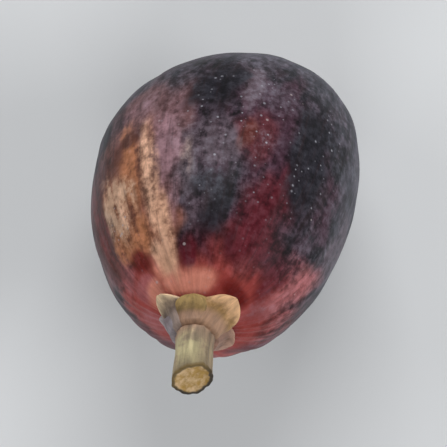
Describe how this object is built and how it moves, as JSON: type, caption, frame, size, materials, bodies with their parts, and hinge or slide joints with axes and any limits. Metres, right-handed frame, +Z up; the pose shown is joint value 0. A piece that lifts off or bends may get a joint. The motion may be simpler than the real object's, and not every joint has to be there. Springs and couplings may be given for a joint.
{
  "type": "fresh fig",
  "caption": "Whole fresh dark fig lying on its belly, leaning forward, with a cut stem, scale leaves round the stem's foot and a small scaly eye at the blossom end.",
  "frame": {"origin": "On the surface the fig rests on, under the middle of the box round the whole fig.", "axes": "+Z up, off the surface; -Y to the front, the way the stem leans; +X to the right of the fig seen from the front."},
  "size_m": [0.04, 0.053, 0.0544],
  "materials": {
    "fig_skin": "satin",
    "fig_stem": "matte"
  },
  "bodies": {
    "root": {"fruit": "fig_skin", "stem": "fig_stem"}
  },
  "joints": []
}
